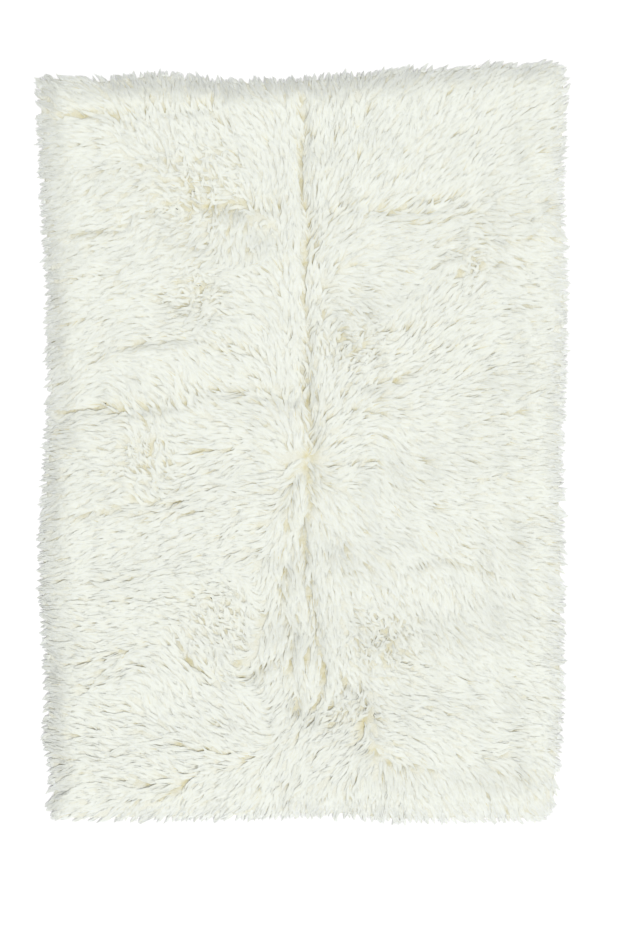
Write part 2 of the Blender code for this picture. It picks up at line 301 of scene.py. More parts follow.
def outward(x, y):
    """Distance inside the straight outline, and the way out, of a round-cornered rectangle."""
    radius = np.zeros_like(x)
    for (sign_x, sign_y), value in CORNER_RADIUS.items():
        radius[(np.sign(x) * sign_x >= 0) & (np.sign(y) * sign_y >= 0)] = value
    past_x = np.abs(x) - (HALF_WIDTH - radius)
    past_y = np.abs(y) - (HALF_LENGTH - radius)
    corner = np.hypot(np.maximum(past_x, 0.0), np.maximum(past_y, 0.0))
    straight = np.minimum(np.maximum(past_x, past_y), 0.0)
    around_corner = (past_x > 0.0) & (past_y > 0.0)
    safe = np.maximum(corner, 1e-9)
    out_x = np.where(around_corner, past_x / safe, (past_x >= past_y).astype(float))
    out_y = np.where(around_corner, past_y / safe, (past_x < past_y).astype(float))
    return radius - corner - straight, out_x * np.sign(x), out_y * np.sign(y)


def distance_inside(x, y):
    """Distance in from the tips' outline: the straight outline's plus the edge's wander."""
    inside, out_x, out_y = outward(x, y)
    side = np.where(x < 0.0, wander(LEFT_WANDER, y), wander(RIGHT_WANDER, y))
    end = np.where(y < 0.0, wander(BOTTOM_WANDER, x), wander(TOP_WANDER, x))
    return inside + out_x ** 2 * side + out_y ** 2 * end


def nearest_on_route(x, y, route):
    """Distance to a route of straight stretches, and the way from its nearest place."""
    nearest = np.full_like(x, np.inf)
    away_x = np.zeros_like(x)
    away_y = np.zeros_like(x)
    stops = np.array(route, float) * MM
    for start, stop in zip(stops[:-1], stops[1:]):
        run = stop - start
        share = ((x - start[0]) * run[0] + (y - start[1]) * run[1]) / run.dot(run)
        share = np.clip(share, 0.0, 1.0)
        gap_x = x - start[0] - share * run[0]
        gap_y = y - start[1] - share * run[1]
        gap = np.hypot(gap_x, gap_y)
        closer = gap < nearest
        nearest = np.where(closer, gap, nearest)
        away_x = np.where(closer, gap_x / np.maximum(gap, 1e-6), away_x)
        away_y = np.where(closer, gap_y / np.maximum(gap, 1e-6), away_y)
    return nearest, away_x, away_y


def humps(x, y):
    """Sum of sine waves, each a golden angle round from the one before."""
    total = np.zeros_like(x)
    for turn, (wavelength, height) in enumerate(HUMPS):
        angle = GOLDEN_ANGLE * turn
        across = x * math.cos(angle) + y * math.sin(angle)
        total += height * MM * np.sin(math.tau * across / (wavelength * MM) + HUMP_SHIFT * turn)
    return total


def in_mm(route):
    """A route read from the photo's pixels, in mm from the rug's middle."""
    return [((px - PHOTO_MIDDLE[0]) * PIXEL / MM, (PHOTO_MIDDLE[1] - py) * PIXEL / MM)
            for px, py in route]


def astray(x, y):
    """The places moved by smooth uneven fields, so that a route through them wanders."""
    return (x + CREASE_WANDER * ripples(x, y, CREASE_WAVELENGTH, 41),
            y + CREASE_WANDER * ripples(x, y, CREASE_WAVELENGTH, 42))


def pile_height(x, y):
    """Height of the pile: a rounded shoulder at the rim, with humps, cut by the partings.

    A ridge adds its height times exp(-(distance / reach)^2), and a parting takes away a share
    of its depth times exp(-(distance / width)^2).
    """
    share = np.clip(distance_inside(x, y) / SHOULDER, 0.0, 1.0)
    shoulder = 1.0 - (1.0 - share) ** 2
    valley = np.zeros_like(x)
    astray_x, astray_y = astray(x, y)
    for depth, width, route in PARTINGS:
        gap, _, _ = nearest_on_route(astray_x, astray_y, route)
        cut = PARTING_SHARE * depth * MM * np.exp(-(gap / (width * MM)) ** 2)
        valley = np.maximum(valley, cut)
    ridge = np.zeros_like(x)
    for route in RIDGES:
        gap, _, _ = nearest_on_route(x, y, in_mm(route))
        ridge = np.maximum(ridge, RIDGE_HEIGHT * np.exp(-(gap / RIDGE_REACH) ** 2))
    return shoulder * (PILE_HEIGHT + humps(x, y) + ridge) - valley * share


def ripples(x, y, wavelength, seed):
    """Smooth uneven field of about -1 to 1: seven sine waves of random ways and starts."""
    chance = np.random.default_rng(seed)
    total = np.zeros_like(x)
    waves = 7
    for _ in range(waves):
        way = chance.uniform(0.0, math.tau)
        length = wavelength * chance.uniform(0.7, 1.5)
        across = x * math.cos(way) + y * math.sin(way)
        total += np.sin(math.tau * across / length + chance.uniform(0.0, math.tau))
    return total / math.sqrt(waves / 2) / 1.6


def combed_way(x, y):
    """Way that the tips point: the comb table's ways, mixed by nearness, turned from partings.

    Each row pulls with exp(-(distance / reach)^2). Beside a parting the way is turned away from
    it, and a smooth uneven field turns everything a little.
    """
    rows = np.array(COMBED, float)
    way_x = 0.02 * np.sign(x) * np.minimum(np.abs(x) / 0.1, 1.0)
    way_y = 0.02 * y
    for row_x, row_y, degrees in rows:
        gap = ((x - row_x * MM) ** 2 + (y - row_y * MM) ** 2) / COMB_REACH ** 2
        pull = np.exp(-gap)
        way_x = way_x + pull * math.cos(math.radians(degrees))
        way_y = way_y + pull * math.sin(math.radians(degrees))
    size = np.maximum(np.hypot(way_x, way_y), 1e-9)
    way_x, way_y = way_x / size, way_y / size
    astray_x, astray_y = astray(x, y)
    for depth, width, route in PARTINGS:
        gap, away_x, away_y = nearest_on_route(astray_x, astray_y, route)
        push = depth / PARTING_TURN * np.exp(-(gap / (0.9 * width * MM)) ** 2)
        way_x = way_x + push * away_x
        way_y = way_y + push * away_y
    near = CREASE(x, y)
    way_x = way_x + 0.5 * near * CREASE_AWAY_X(x, y)
    way_y = way_y + 0.5 * near * CREASE_AWAY_Y(x, y)
    return np.arctan2(way_y, way_x)


def crevice_shade_and_tone(x, y):
    """Painted shade of the crevices, 0 to 1: at partings, creases and curls, with random cream patches.

    A smooth uneven field breaks it up into spots.
    """
    spots = np.clip(0.5 + 0.9 * ripples(x, y, 0.045, 31), 0.0, 1.0)
    few = np.clip(1.5 * ripples(x, y, 0.050, 33) - 0.6, 0.0, 1.0)
    most = np.maximum(0.6 * curliness(x, y) * spots, 0.5 * few)
    for depth, width, route in PARTINGS:
        gap, _, _ = nearest_on_route(x, y, route)
        near = depth / 15.0 * np.exp(-(gap / (1.3 * width * MM)) ** 2)
        most = np.maximum(most, near * 0.6 * spots)
    return np.clip(np.maximum(most, CREASE(x, y)), 0.0, 1.0)


def crease_parts(x, y):
    """Nearness to the creases, 0 to 1, and the way from the nearest one.

    The creases wander off their routes and are broken up by smooth uneven fields.
    """
    broken = np.clip(0.55 + 1.1 * ripples(x, y, 0.034, 43), 0.0, 1.0)
    x, y = astray(x, y)
    most = np.zeros_like(x)
    way_x = np.zeros_like(x)
    way_y = np.zeros_like(x)
    for route in CREASES:
        gap, away_x, away_y = nearest_on_route(x, y, in_mm(route))
        near = np.exp(-(gap / CREASE_REACH) ** 2)
        closer = near > most
        most = np.where(closer, near, most)
        way_x = np.where(closer, away_x, way_x)
        way_y = np.where(closer, away_y, way_y)
    return most * broken, way_x, way_y


def curliness(x, y):
    """How far the wool is from lying combed, 0 to 1."""
    most = np.zeros_like(x)
    for row_x, row_y, reach in CURLY:
        gap = ((x - row_x * MM) ** 2 + (y - row_y * MM) ** 2) / (reach * MM) ** 2
        most = np.maximum(most, np.exp(-gap))
    return most


class Field:
    """A smooth function of x and y, kept on a grid and read between its points."""

    STEP = 0.004

    COLUMNS = np.arange(-HALF_WIDTH - 0.05, HALF_WIDTH + 0.05, STEP)
    ROWS = np.arange(-HALF_LENGTH - 0.05, HALF_LENGTH + 0.08, STEP)

    def __init__(self, values):
        self.values = values

    def __call__(self, x, y):
        across = np.clip((x - self.COLUMNS[0]) / self.STEP, 0, len(self.COLUMNS) - 1.001)
        up = np.clip((y - self.ROWS[0]) / self.STEP, 0, len(self.ROWS) - 1.001)
        i, j = up.astype(int), across.astype(int)
        v, u = up - i, across - j
        grid = self.values
        return ((1 - v) * ((1 - u) * grid[i, j] + u * grid[i, j + 1])
                + v * ((1 - u) * grid[i + 1, j] + u * grid[i + 1, j + 1]))


GRID = np.meshgrid(Field.COLUMNS, Field.ROWS)
HEIGHTS = pile_height(*GRID)
TOP = Field(HEIGHTS)
SLOPE_Y, SLOPE_X = (Field(slope) for slope in np.gradient(HEIGHTS, Field.STEP))
INSIDE = Field(distance_inside(*GRID))
CREASE, CREASE_AWAY_X, CREASE_AWAY_Y = (Field(part) for part in crease_parts(*GRID))
WAYS = combed_way(*GRID)
WAY_X = Field(np.cos(WAYS))
WAY_Y = Field(np.sin(WAYS))
CURL = Field(curliness(*GRID))
CREVICE_SHADE_AND_TONE = Field(crevice_shade_and_tone(*GRID))


# Meshes

def mesh_from_arrays(name, points, corners, sizes):
    """Mesh of the points, with faces of the given sizes taken in order from the corners."""
    mesh = bpy.data.meshes.new(name)
    mesh.vertices.add(len(points))
    mesh.vertices.foreach_set("co", points.astype(np.float32).ravel())
    mesh.loops.add(len(corners))
    mesh.loops.foreach_set("vertex_index", corners.astype(np.int32))
    mesh.polygons.add(len(sizes))
    starts = np.concatenate(([0], np.cumsum(sizes)[:-1])).astype(np.int32)
    mesh.polygons.foreach_set("loop_start", starts)
    mesh.update(calc_edges=True)
    mesh.shade_smooth()
    return mesh


def add_normals(mesh, directions):
    """Smooth shading by the given directions, one for each point."""
    size = np.maximum(np.linalg.norm(directions, axis=1, keepdims=True), 1e-9)
    layer = mesh.attributes.new("custom_normal", "FLOAT_VECTOR", "POINT")
    layer.data.foreach_set("vector", (directions / size).astype(np.float32).ravel())


def add_uv(mesh, name, pairs):
    """A UV map from one pair for each face corner."""
    layer = mesh.uv_layers.new(name=name)
    layer.data.foreach_set("uv", pairs.astype(np.float32).ravel())


def add_numbers(mesh, name, values):
    """A named number at each point, for a material to read."""
    layer = mesh.attributes.new(name, "FLOAT", "POINT")
    layer.data.foreach_set("value", values.astype(np.float32))


def piece_from(mesh, material):
    """The finished piece: its mesh and material, riding on the rug and standing for its solid."""
    mesh.materials.append(material)
    piece = bpy.data.objects.new(mesh.name, mesh)
    bpy.context.scene.collection.objects.link(piece)
    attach(piece, "root")
    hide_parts("flokati_rug")
    return piece


def strand_faces(count, stations):
    """Corner indices and face sizes of tapered tubes: root cap, sides as quads, and a point.

    A tube has (stations - 1) rings of SIDES points and one tip point.
    """
    rings = stations - 1
    per_strand = rings * SIDES + 1
    side = np.arange(SIDES)
    after = (side + 1) % SIDES
    ring = np.arange(rings - 1)[:, None] * SIDES
    quads = np.stack((ring + side, ring + after, ring + SIDES + after, ring + SIDES + side), -1)
    last = (rings - 1) * SIDES
    tips = np.stack((last + side, last + after, np.full(SIDES, rings * SIDES)), -1)
    cap = side[::-1]
    corners = np.concatenate((quads.ravel(), tips.ravel(), cap))
    sizes = np.concatenate((np.full((rings - 1) * SIDES, 4), np.full(SIDES, 3), [SIDES]))
    shifts = np.arange(count)[:, None] * per_strand
    return (corners[None, :] + shifts).ravel(), np.tile(sizes, count)


def strand_uvs(count, stations, chance):
    """Two maps for each face corner of the tubes.

    The pattern map runs once round the strand and root to tip along it, in strand widths and
    lengths, with a random shift for each strand. The other gives each strand its own cell of a
    square sheet, its sides next to each other and its root cap below them.
    """
    rings = stations - 1
    side = np.arange(SIDES)
    places = np.arange(rings) / rings
    around, along = [], []
    for ring in range(rings - 1):
        for k in side:
            around += [k, k + 1, k + 1, k]
            along += [places[ring], places[ring], places[ring + 1], places[ring + 1]]
    for k in side:
        around += [k, k + 1, k + 0.5]
        along += [places[-1], places[-1], 1.0]
    around += [2.0, 1.0, 1.5]
    along += [-0.004, -0.004, -0.035]
    around = np.array(around, float) / SIDES
    along = np.array(along, float)
    shift = chance.uniform(0.0, 100.0, (count, 1))
    pattern = np.stack((around + shift, np.broadcast_to(along, (count, len(along)))), -1)
    columns = math.ceil(math.sqrt(count * 6.0))
    rows = math.ceil(count / columns)
    index = np.arange(count)[:, None]
    cell_u = (index % columns + CELL_EDGE_U + (1 - 2 * CELL_EDGE_U) * around) / columns
    cell_v = (index // columns + CELL_EDGE_V + (1 - 2 * CELL_EDGE_V) * along) / rows
    return pattern.reshape(-1, 2), np.stack((cell_u, cell_v), -1).reshape(-1, 2)


def strands(name, paths, widths, shade_and_tone, flatness, chance):
    """One mesh of tapered three-sided tubes along the paths.

    paths is (strand, station, xyz). At share t of its length a strand's half-width is its width
    times (0.6 + 1.5 t (1 - t)) (1 - t^3) / 2, and its half-thickness is that times the flatness.
    The sides' points stand at 90, 210 and 330 degrees round the path, from straight up. It is
    shaded as a soft low ridge: each point's direction leans out sideways by its own share of
    the rounding, and follows the slope of the pile.
    """
    count, stations, _ = paths.shape
    t = np.linspace(0.0, 1.0, stations)
    half = widths[:, None] / 2 * ((0.6 + 1.5 * t * (1 - t)) * (1 - t ** 3))[None, :-1]
    run = np.gradient(paths, axis=1)[:, :-1]
    run /= np.maximum(np.linalg.norm(run, axis=2, keepdims=True), 1e-9)
    across = np.cross(run, (0.0, 0.0, 1.0))
    across /= np.maximum(np.linalg.norm(across, axis=2, keepdims=True), 1e-6)
    over = np.cross(across, run)
    points, normals = [], []
    for k in range(SIDES):
        angle = math.pi / 2 - math.tau * k / SIDES
        offset = (across * math.cos(angle) + over * math.sin(angle) * flatness) * half[..., None]
        points.append(paths[:, :-1] + offset)
        normals.append(across * math.cos(angle) * ROUNDING + over)
    body = np.stack(points, axis=2).reshape(count, -1, 3)
    points = np.concatenate((body, paths[:, -1:]), axis=1).reshape(-1, 3)
    normals = np.stack(normals, axis=2).reshape(count, -1, 3)
    normals = np.concatenate((normals, over[:, -1:]), axis=1).reshape(-1, 3)
    normals[:, 0] -= SLOPE_SHADING * SLOPE_X(points[:, 0], points[:, 1])
    normals[:, 1] -= SLOPE_SHADING * SLOPE_Y(points[:, 0], points[:, 1])
    points[:, 2] = np.maximum(points[:, 2], FLOOR_CLEAR)
    mesh = mesh_from_arrays(name, points, *strand_faces(count, stations))
    add_normals(mesh, normals)
    pattern, cells = strand_uvs(count, stations, chance)
    add_uv(mesh, "strand", pattern)
    add_uv(mesh, "OFBake", cells)
    per_strand = (stations - 1) * SIDES + 1
    add_numbers(mesh, "along", np.tile(np.append(np.repeat(t[:-1], SIDES), 1.0), count))
    add_numbers(mesh, "tint", np.repeat(chance.uniform(0.0, 1.0, count), per_strand))
    # Share of the crevices' painted shade, with random cream patches
    add_numbers(mesh, "shade_and_tone", np.repeat(shade_and_tone, per_strand))
    # Share of the painted light that whitens the wool towards the rim
    add_numbers(mesh, "rim", rim_light_share(points[:, 0], points[:, 1]))
    return mesh


def rim_light_share(x, y):
    """Share of the painted rim light: 1 at the tips' outline, falling to 0 further in."""
    return np.clip(1.0 - INSIDE(x, y) / RIM_LIGHT_REACH, 0.0, 1.0)


# Wool

def staggered_roots(spacing, inset, chance):
    """Uneven rows of roots over the ground cloth, every other row shifted by half a step."""
    rise = spacing * math.sqrt(0.75)
    rows = np.arange(-HALF_LENGTH, HALF_LENGTH + 0.04, rise)
    x, y = np.meshgrid(np.arange(-HALF_WIDTH, HALF_WIDTH, spacing), rows)
    x = x + spacing / 2 * (np.arange(len(rows)) % 2)[:, None]
    x = (x + chance.uniform(-0.4, 0.4, x.shape) * spacing).ravel()
    y = (y + chance.uniform(-0.4, 0.4, y.shape) * spacing).ravel()
    kept = INSIDE(x, y) > inset
    return x[kept], y[kept]


def lock_paths(x, y, stations, length, chance):
    """Plan paths of locks: each follows the combed way from its root, step by step.

    A lock strays from the combed way by a random angle, more where the wool curls, and swings
    from side to side in a slow wave. Near the rim its steps shorten, so that its tip stays near
    the tips' outline.
    """
    count = len(x)
    curl = CURL(x, y)
    stray = ripples(x, y, 0.12, 5) * 0.16 + ripples(x, y, 0.05, 6) * 0.14
    stray = stray + chance.normal(0.0, 0.09, count) + chance.normal(0.0, 0.6, count) * curl
    swing = chance.uniform(0.08, 0.32, count) * (1 + 1.5 * curl)
    start = chance.uniform(0.0, math.tau, count)
    waves = chance.uniform(0.7, 1.3, count)
    bend = chance.normal(0.0, 0.16, count) * (1 + 3 * curl)
    steps = []
    here = np.stack((x, y), axis=1)
    path = [here]
    for step in range(stations - 1):
        t = (step + 0.5) / (stations - 1)
        way = np.arctan2(WAY_Y(*here.T), WAY_X(*here.T))
        way = way + stray + bend * t + swing * np.sin(start + math.tau * waves * t)
        move = np.stack((np.cos(way), np.sin(way)), axis=1) * (length / (stations - 1))[:, None]
        steps.append(move)
        here = here + move
        path.append(here)
    path = np.stack(path, axis=1)
    root_inside = INSIDE(x, y)
    tip_inside = INSIDE(*path[:, -1].T)
    limit = chance.normal(-0.001, 0.004, count)
    shrink = (root_inside - limit) / np.maximum(root_inside - tip_inside, 1e-6)
    shrink = np.where(tip_inside < limit, np.clip(shrink, SHORTEST_LOCK, 1.0), 1.0)
    return path[:, :1] + (path - path[:, :1]) * shrink[:, None, None]


def lifted(plan, sink, droop):
    """Paths in space: they come out of the lower wool and lie along the pile's surface.

    At share t of its length a path is below the surface by its sink, by droop t^4, and by the
    roots' sink (1 - t)^6, which is deeper at partings, creases, curls and random patches. Near
    the rim a root starts from the ground cloth instead.
    """
    stations = plan.shape[1]
    t = np.linspace(0.0, 1.0, stations)[None, :]
    surface = TOP(plan[..., 0], plan[..., 1])
    cover = np.clip(surface / PILE_HEIGHT, 0.0, 1.0)
    root_sink = ROOT_SINK + (CREASE_DEPTH + 0.002) * CREVICE_SHADE_AND_TONE(plan[:, :1, 0], plan[:, :1, 1])
    below = (sink[:, None] + droop[:, None] * t ** 4 + root_sink * (1 - t) ** 6) * cover
    inside = INSIDE(plan[:, :1, 0], plan[:, :1, 1])
    outer = (GROUND_ROOTS_FROM - inside) / (GROUND_ROOTS_FROM - GROUND_ROOTS_FULL)
    z = (surface - below) * (1 - np.clip(outer, 0.0, 1.0) * (1 - t) ** 4)
    z = np.maximum(z, GROUND_THICKNESS * (1 - t))
    return np.concatenate((plan, z[..., None]), axis=2)


def drawn_into_tufts(x, y):
    """Roots beside a parting, moved part of the way towards the middle of their tuft.

    The tufts' middles are a staggered grid of cells whose edges are bent by a smooth field.
    """
    bent_x = x + 0.008 * ripples(x, y, 0.06, 11)
    bent_y = y + 0.008 * ripples(x, y, 0.06, 12)
    row = np.round(bent_y / TUFT_SPACING)
    shift = TUFT_SPACING / 2 * (row % 2)
    middle_x = np.round((bent_x - shift) / TUFT_SPACING) * TUFT_SPACING + shift
    middle_y = row * TUFT_SPACING
    pull = TUFT_PULL * CREVICE_SHADE_AND_TONE(x, y)
    aside = CREASE_REACH * CREASE(x, y)
    return (x + (middle_x - bent_x) * pull + aside * CREASE_AWAY_X(x, y),
            y + (middle_y - bent_y) * pull + aside * CREASE_AWAY_Y(x, y))


def lock_middles(chance):
    """The locks' middle lines."""
    x, y = staggered_roots(LOCK_SPACING, LOCK_INSET, chance)
    x, y = drawn_into_tufts(x, y)
    count = len(x)
    length = LOCK_LENGTH * chance.uniform(0.75, 1.08, count) * (1 - 0.35 * CURL(x, y))
    plan = lock_paths(x, y, LOCK_STATIONS, length * 0.88, chance)
    sink = chance.uniform(0.0002, 0.0018, count)
    droop = chance.uniform(0.0, 0.0015, count)
    return lifted(plan, sink, droop)


def strands_on(locks, chance):
    """Paths, widths and painted shade of the locks' strands: apart at the root, together at the tip.

    Where the painted shade is strong, some of them are thinner and wholly cream: painted shade of the
    gaps.
    """
    count = len(locks)
    t = np.linspace(0.0, 1.0, STRAND_STATIONS)
    places = t * (LOCK_STATIONS - 1)
    low = np.minimum(places.astype(int), LOCK_STATIONS - 2)
    part = (places - low)[None, :, None]
    t = t[None, :, None]
    shade_and_tone = CREVICE_SHADE_AND_TONE(locks[:, 0, 0], locks[:, 0, 1])
    paths, widths, shades_and_tones = [], [], []
    for strand in range(STRANDS_ON_LOCK):
        reach = chance.uniform(0.85, 1.08, count)[:, None, None]
        middle = locks[:, low] * (1 - part) + locks[:, low + 1] * part
        middle = locks[:, :1] + (middle - locks[:, :1]) * reach
        angle = math.tau * strand / STRANDS_ON_LOCK + chance.uniform(-0.8, 0.8, count)
        spread = chance.uniform(0.2, 0.62, count) * LOCK_SPACING
        offset = np.stack((np.cos(angle), np.sin(angle), np.zeros(count)), axis=1)
        offset = (offset * spread[:, None])[:, None, :]
        path = middle + offset * (0.25 + 0.75 * (1 - t))
        # Shade strands: thinner strands coloured wholly cream, as painted shade of the gaps
        shade_strand = chance.uniform(0.0, 1.0, count) < SHADE_STRAND_SHARE * np.minimum(shade_and_tone * 3.0, 1.0)
        lift = chance.uniform(0.0002, 0.0013, count) - 0.0002 * shade_strand
        cover = np.clip(TOP(path[..., 0], path[..., 1]) / PILE_HEIGHT, 0.0, 1.0)
        path[..., 2] += lift[:, None] * cover
        paths.append(path)
        widths.append(STRAND_WIDTH * chance.uniform(0.7, 1.25, count) * (1 - 0.3 * shade_strand))
        shades_and_tones.append(np.where(shade_strand, np.minimum(shade_and_tone * 2.0, 1.0), shade_and_tone * 0.3))
    return np.concatenate(paths), np.concatenate(widths), np.concatenate(shades_and_tones)


def wisps(chance):
    """Paths and widths of fine strands that lie loosely on top, each on its own way."""
    x = chance.uniform(-HALF_WIDTH, HALF_WIDTH, WISP_COUNT * 2)
    y = chance.uniform(-HALF_LENGTH, HALF_LENGTH + 0.03, WISP_COUNT * 2)
    kept = INSIDE(x, y) > WISP_INSET
    x, y = x[kept][:WISP_COUNT], y[kept][:WISP_COUNT]
    count = len(x)
    length = chance.uniform(*WISP_LENGTHS, count)
    plan = lock_paths(x, y, STRAND_STATIONS, length, chance)
    t = np.linspace(0.0, 1.0, STRAND_STATIONS)[None, :]
    surface = TOP(plan[..., 0], plan[..., 1])
    lift = chance.uniform(-0.002, 0.004, count)[:, None] * np.clip(surface / PILE_HEIGHT, 0, 1)
    z = np.maximum(surface * (0.86 + 0.14 * np.sin(math.pi * t)) + lift, WISP_CLEAR)
    return np.concatenate((plan, z[..., None]), axis=2), np.full(count, WISP_WIDTH)


def grid_within(inset, columns, rows):
    """Grid of points that fills the outline, drawn in from the tips by the inset."""
    u, v = np.meshgrid(np.linspace(-1.0, 1.0, columns), np.linspace(-1.0, 1.0, rows))
    x = u * (HALF_WIDTH - inset)
    y = v * (HALF_LENGTH - inset)
    low_y = -HALF_LENGTH + inset - wander(BOTTOM_WANDER, x)
    high_y = HALF_LENGTH - inset + wander(TOP_WANDER, x)
    y = low_y + (high_y - low_y) * (v + 1) / 2
    low_x = -HALF_WIDTH + inset - wander(LEFT_WANDER, y)
    high_x = HALF_WIDTH - inset + wander(RIGHT_WANDER, y)
    x = low_x + (high_x - low_x) * (u + 1) / 2
    for _ in range(3):
        short = np.maximum(inset - distance_inside(x, y), 0.0)
        _, out_x, out_y = outward(x, y)
        x = x - out_x * short
        y = y - out_y * short
    return x, y


def closed_sheet(name, x, y, top, base, plain_underside=False):
    """Closed mesh between two heights over a grid: top, underside and the four edges.

    A plain underside is one face.
    """
    rows, columns = x.shape
    upper = np.stack((x, y, top), -1).reshape(-1, 3)
    lower = np.stack((x, y, base), -1).reshape(-1, 3)
    index = np.arange(rows * columns).reshape(rows, columns)
    faces = np.stack((index[:-1, :-1], index[:-1, 1:], index[1:, 1:], index[1:, :-1]), -1)
    faces = faces.reshape(-1, 4)
    under = faces[:, ::-1] + rows * columns
    rim = np.concatenate((index[0, :-1], index[:-1, -1], index[-1, :0:-1], index[:0:-1, 0]))
    beside = np.roll(rim, -1)
    walls = np.stack((rim + rows * columns, beside + rows * columns, beside, rim), -1)
    if not plain_underside:
        corners = np.concatenate((faces, under, walls))
        return mesh_from_arrays(name, np.concatenate((upper, lower)), corners.ravel(),
                                np.full(len(corners), 4))
    low_rim = np.arange(len(rim)) + rows * columns
    beside_low = np.roll(low_rim, -1)
    walls = np.stack((low_rim, beside_low, beside, rim), -1)
    corners = np.concatenate((faces, walls))
    sizes = np.append(np.full(len(corners), 4), len(rim))
    points = np.concatenate((upper, lower[rim]))
    return mesh_from_arrays(name, points, np.append(corners.ravel(), low_rim[::-1]), sizes)


# Materials

def linear(hex_colour):
    """Linear RGBA from an sRGB hex value."""
    shares = [int(hex_colour[k:k + 2], 16) / 255 for k in (0, 2, 4)]
    return [s / 12.92 if s <= 0.04045 else ((s + 0.055) / 1.055) ** 2.4 for s in shares] + [1.0]


def node(material, kind, settings=(), **links):
    """Adds a node with its settings and input values; a value that is a socket is linked.

    An input is given by its name, or as i and its number.
    """
    tree = material.node_tree
    added = tree.nodes.new(kind)
    for key, value in dict(settings).items():
        setattr(added, key, value)
    for key, value in links.items():
        place = int(key[1:]) if key[1:].isdigit() else key.replace("_", " ")
        socket = added.inputs[place]
        if isinstance(value, bpy.types.NodeSocket):
            tree.links.new(value, socket)
        else:
            socket.default_value = value
    return added


def new_material(name):
    """Empty node material and its Principled surface."""
    material = bpy.data.materials.new(name)
    material.use_nodes = True
    return material, material.node_tree.nodes["Principled BSDF"]


def wool_yarn_material(name, streaks_round, streaks_along):
    """Loosely twisted undyed wool: matt and off-white, with painted light at the rim and painted shade
    towards the roots.

    The fibres show as streaks along the wool, in colour and as bump: so many of them round a
    lock or strand, and so many from its root to its tip.
    """
    material, surface = new_material(name)
    link = material.node_tree.links.new
    colours = {"data_type": "RGBA"}
    along, shade_and_tone_here, tint, rim = (
        node(material, "ShaderNodeAttribute", {"attribute_name": key}).outputs["Fac"]
        for key in ("along", "shade_and_tone", "tint", "rim"))
    root = node(material, "ShaderNodeMapRange", {"interpolation_type": "SMOOTHSTEP"},
                Value=along, From_Min=0.0, From_Max=0.95, To_Min=1.0, To_Max=0.0)
    shade_and_tone = node(material, "ShaderNodeMapRange", Value=shade_and_tone_here, To_Min=0.05, To_Max=1.0)
    painted_root_shade = node(material, "ShaderNodeMath", {"operation": "MULTIPLY"},
                  i0=root.outputs["Result"], i1=shade_and_tone.outputs["Result"]).outputs[0]
    uv = node(material, "ShaderNodeUVMap", {"uv_map": "strand"}).outputs["UV"]
    stretch = node(material, "ShaderNodeMapping", Vector=uv,
                   Scale=(streaks_round, streaks_along, 1.0))
    fibres = node(material, "ShaderNodeTexNoise", {"noise_dimensions": "2D"},
                  Vector=stretch.outputs["Vector"], Scale=1.0, Detail=2.0)
    streak = node(material, "ShaderNodeMapRange", Value=fibres.outputs["Fac"],
                  From_Min=0.36, From_Max=0.62, To_Min=1.0, To_Max=0.0)
    uneven = node(material, "ShaderNodeMath", {"operation": "MULTIPLY_ADD", "use_clamp": True},
                  i0=tint, i1=0.35, i2=-0.15).outputs[0]
    marked = node(material, "ShaderNodeMath", {"operation": "MAXIMUM"},
                  i0=streak.outputs["Result"], i1=uneven).outputs[0]
    # Painted light: the wool is coloured whiter and cooler towards the rim
    tip = node(material, "ShaderNodeMix", colours, i0=rim, i6=linear(TIP_COLOUR),
               i7=linear(RIM_LIGHT_COLOUR))
    streaked = node(material, "ShaderNodeMix", colours, i0=marked, i6=tip.outputs[2],
                    i7=linear(STREAK_COLOUR))
    # Painted shade: darker cream towards the roots where the pile parts, creases or curls
    shade = node(material, "ShaderNodeMix", colours, i0=painted_root_shade, i6=streaked.outputs[2],
                 i7=linear(ROOT_SHADE_COLOUR))
    link(shade.outputs[2], surface.inputs["Base Color"])
    surface.inputs["Roughness"].default_value = 0.9
    surface.inputs["Sheen Weight"].default_value = 0.1
    surface.inputs["Sheen Roughness"].default_value = 0.5
    surface.inputs["Specular IOR Level"].default_value = 0.2
    bump = node(material, "ShaderNodeBump", Height=fibres.outputs["Fac"], Strength=0.25,
                Distance=0.0005)
    link(bump.outputs["Normal"], surface.inputs["Normal"])
    return material


def lower_wool_material():
    """Dense wool at the roots of the pile: matt and fibrous, in random cream clumps, and cream as
    painted shade where a parting shows it.
    """
    material, surface = new_material("dense wool roots")
    link = material.node_tree.links.new
    place = node(material, "ShaderNodeTexCoord").outputs["Object"]
    shade_and_tone = node(material, "ShaderNodeAttribute", {"attribute_name": "shade_and_tone"}).outputs["Fac"]
    clumps = node(material, "ShaderNodeTexNoise", Vector=place, Scale=1.0 / CLUMP_SIZE,
                  Detail=4.0, Distortion=0.8)
    spread = node(material, "ShaderNodeMath", {"operation": "MULTIPLY_ADD"},
                  i0=clumps.outputs["Fac"], i1=-0.8, i2=0.4)
    amount = node(material, "ShaderNodeMath", {"operation": "ADD", "use_clamp": True},
                  i0=spread.outputs[0], i1=shade_and_tone)
    # Painted shade: cream where the pile parts, mixed with random cream clumps
    shade = node(material, "ShaderNodeMix", {"data_type": "RGBA"}, i0=amount.outputs[0],
                 i6=linear(LOWER_COLOUR), i7=linear(PARTING_SHADE_COLOUR))
    link(shade.outputs[2], surface.inputs["Base Color"])
    surface.inputs["Roughness"].default_value = 0.9
    surface.inputs["Specular IOR Level"].default_value = 0.2
    bump = node(material, "ShaderNodeBump", Height=clumps.outputs["Fac"], Strength=0.8,
                Distance=0.004)
    link(bump.outputs["Normal"], surface.inputs["Normal"])
    return material


